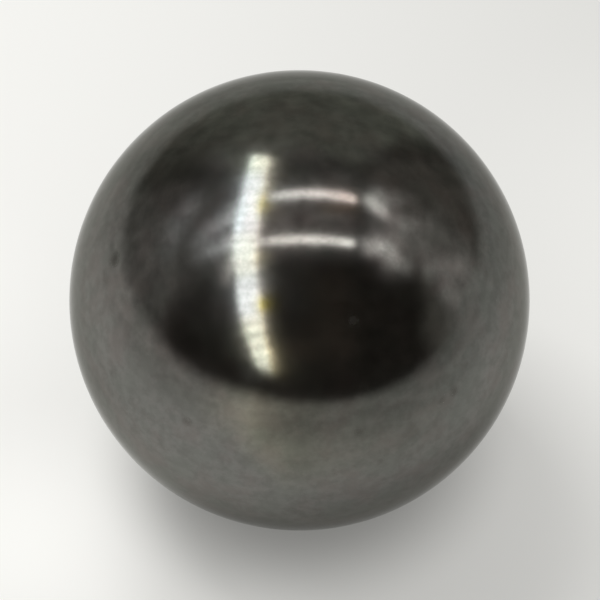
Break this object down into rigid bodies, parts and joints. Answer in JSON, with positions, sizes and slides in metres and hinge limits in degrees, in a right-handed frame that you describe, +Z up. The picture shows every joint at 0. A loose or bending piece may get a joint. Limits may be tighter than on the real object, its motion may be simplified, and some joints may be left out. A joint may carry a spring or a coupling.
{
  "type": "steel ball",
  "caption": "Solid polished steel ball with a true spherical surface, for rolling in a race or seating in a cup, detent or valve.",
  "frame": {"origin": "centre of the ball", "axes": "+Z up; the ball is the same about every axis through its centre"},
  "size_m": [0.01, 0.01, 0.01],
  "materials": {
    "polished_steel": "polished"
  },
  "bodies": {
    "root": {"steel_ball": "polished_steel"}
  },
  "joints": []
}
